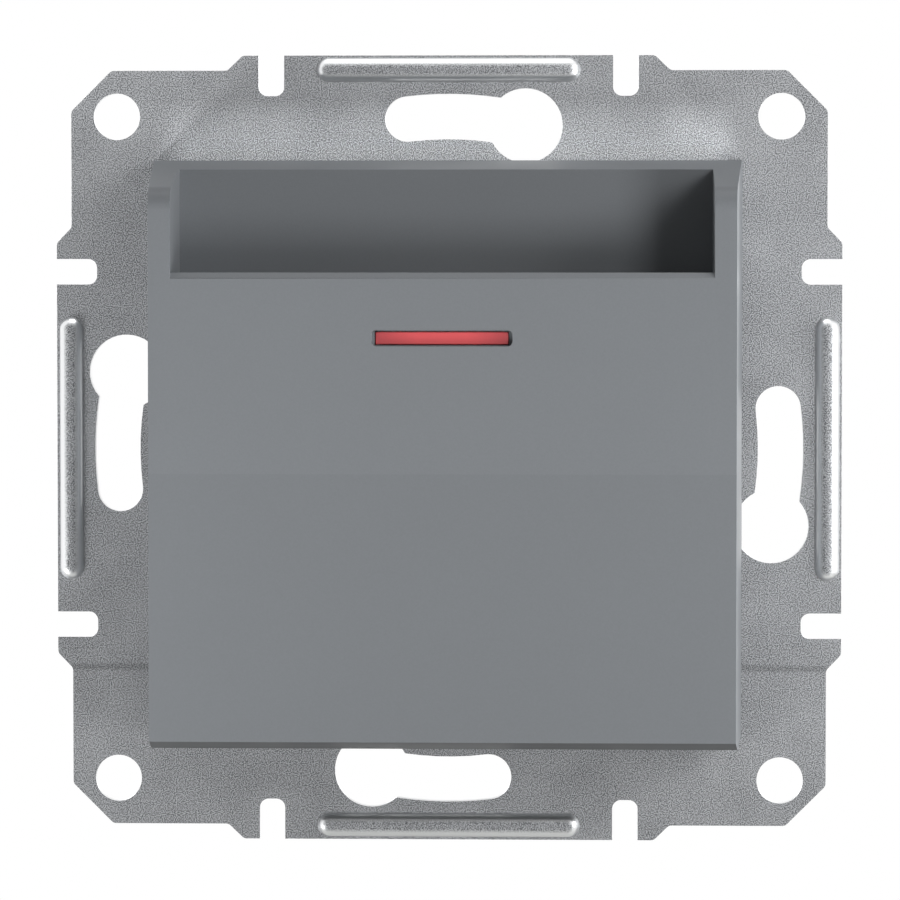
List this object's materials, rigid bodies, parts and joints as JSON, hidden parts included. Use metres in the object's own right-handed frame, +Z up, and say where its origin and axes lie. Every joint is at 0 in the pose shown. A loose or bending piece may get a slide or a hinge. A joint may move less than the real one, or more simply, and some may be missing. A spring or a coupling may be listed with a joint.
{
  "type": "hotel key card switch",
  "caption": "Flush wall switch with a card pocket: a square steel mounting plate carries a boxy moulded cover with an indicator lens in front and a switch base with screw terminals behind.",
  "frame": {"origin": "centre of the plate's four round corner holes, on the plate's rear face, which is the wall plane", "axes": "+Z up along the wall, front of the switch towards -Y, +X to the right as seen from the front"},
  "size_m": [0.071, 0.041, 0.071],
  "materials": {
    "galvanised_steel": "galvanised, fine grain",
    "anthracite_plastic": "fine moulded texture",
    "red_lens": "smooth, tinted",
    "clear_plastic": "clear",
    "white_plastic": "moulded",
    "grey_plastic": "moulded",
    "plain_steel": "zinc plated",
    "brass": "stamped",
    "copper": "rolled",
    "contact_silver": "satin",
    "board_laminate": "lacquered",
    "resistor_body": "lacquered",
    "diode_body": "smooth"
  },
  "bodies": {
    "housing": {"mounting_plate": "galvanised_steel", "front_cover": "anthracite_plastic", "indicator_lens": "red_lens", "light_guide": "clear_plastic", "mechanism_carrier": "white_plastic", "lever_pin": "plain_steel", "contact_cap": "white_plastic", "line_bar": "brass", "load_bar": "brass", "fixed_tips": "contact_silver", "lamp_board": "board_laminate", "indicator_lamp": "clear_plastic", "lamp_resistor": "resistor_body", "lamp_diode": "diode_body", "lamp_live_bar": "brass", "lamp_neutral_bar": "brass", "switch_base": "grey_plastic", "rivets": "plain_steel"},
    "lever": {"card_lever": "grey_plastic"},
    "contact_set": {"plunger": "white_plastic", "pressure_spring": "plain_steel", "contact_bridge": "copper", "bridge_tips": "contact_silver", "return_spring": "plain_steel"},
    "line_screw": {"line_screw": "plain_steel"},
    "line_clamp": {"line_clamp": "brass"},
    "load_screw": {"load_screw": "plain_steel"},
    "load_clamp": {"load_clamp": "brass"},
    "lamp_live_screw": {"lamp_live_screw": "plain_steel"},
    "lamp_live_clamp": {"lamp_live_clamp": "brass"},
    "lamp_neutral_screw": {"lamp_neutral_screw": "plain_steel"},
    "lamp_neutral_clamp": {"lamp_neutral_clamp": "brass"}
  },
  "joints": [
    {"name": "plunger_slide", "type": "slide", "parent": "housing", "child": "contact_set", "axis": [0, 1, 0], "range_m": [0, 0.00328], "stiffness_N_per_m": 150, "springref_m": -0.004, "deforming": ["return_spring"]},
    {"name": "lever_swing", "type": "hinge", "parent": "housing", "child": "lever", "pos_m": [0, -0.0039, 0.0055], "axis": [1, 0, 0], "range_deg": [0, 15.7]},
    {"name": "line_clamp_slide", "type": "slide", "parent": "housing", "child": "line_clamp", "axis": [0, 1, 0], "range_m": [0, 0.003]},
    {"name": "line_screw_turn", "type": "hinge", "parent": "housing", "child": "line_screw", "pos_m": [0.0136, 0.0205, 0.0145], "axis": [0, -1, 0], "range_deg": [0, 1800]},
    {"name": "load_clamp_slide", "type": "slide", "parent": "housing", "child": "load_clamp", "axis": [0, 1, 0], "range_m": [0, 0.003]},
    {"name": "load_screw_turn", "type": "hinge", "parent": "housing", "child": "load_screw", "pos_m": [-0.0136, 0.0205, 0.0145], "axis": [0, -1, 0], "range_deg": [0, 1800]},
    {"name": "lamp_live_clamp_slide", "type": "slide", "parent": "housing", "child": "lamp_live_clamp", "axis": [0, 1, 0], "range_m": [0, 0.003]},
    {"name": "lamp_live_screw_turn", "type": "hinge", "parent": "housing", "child": "lamp_live_screw", "pos_m": [0.0136, 0.0205, -0.0145], "axis": [0, -1, 0], "range_deg": [0, 1800]},
    {"name": "lamp_neutral_clamp_slide", "type": "slide", "parent": "housing", "child": "lamp_neutral_clamp", "axis": [0, 1, 0], "range_m": [0, 0.003]},
    {"name": "lamp_neutral_screw_turn", "type": "hinge", "parent": "housing", "child": "lamp_neutral_screw", "pos_m": [-0.0136, 0.0205, -0.0145], "axis": [0, -1, 0], "range_deg": [0, 1800]}
  ],
  "couplings": [
    {"joint": "lever_swing", "follows": "plunger_slide", "rad_per_m": 83.333},
    {"joint": "line_screw_turn", "follows": "line_clamp_slide", "rad_per_m": 10470},
    {"joint": "load_screw_turn", "follows": "load_clamp_slide", "rad_per_m": 10470},
    {"joint": "lamp_live_screw_turn", "follows": "lamp_live_clamp_slide", "rad_per_m": 10470},
    {"joint": "lamp_neutral_screw_turn", "follows": "lamp_neutral_clamp_slide", "rad_per_m": 10470}
  ]
}
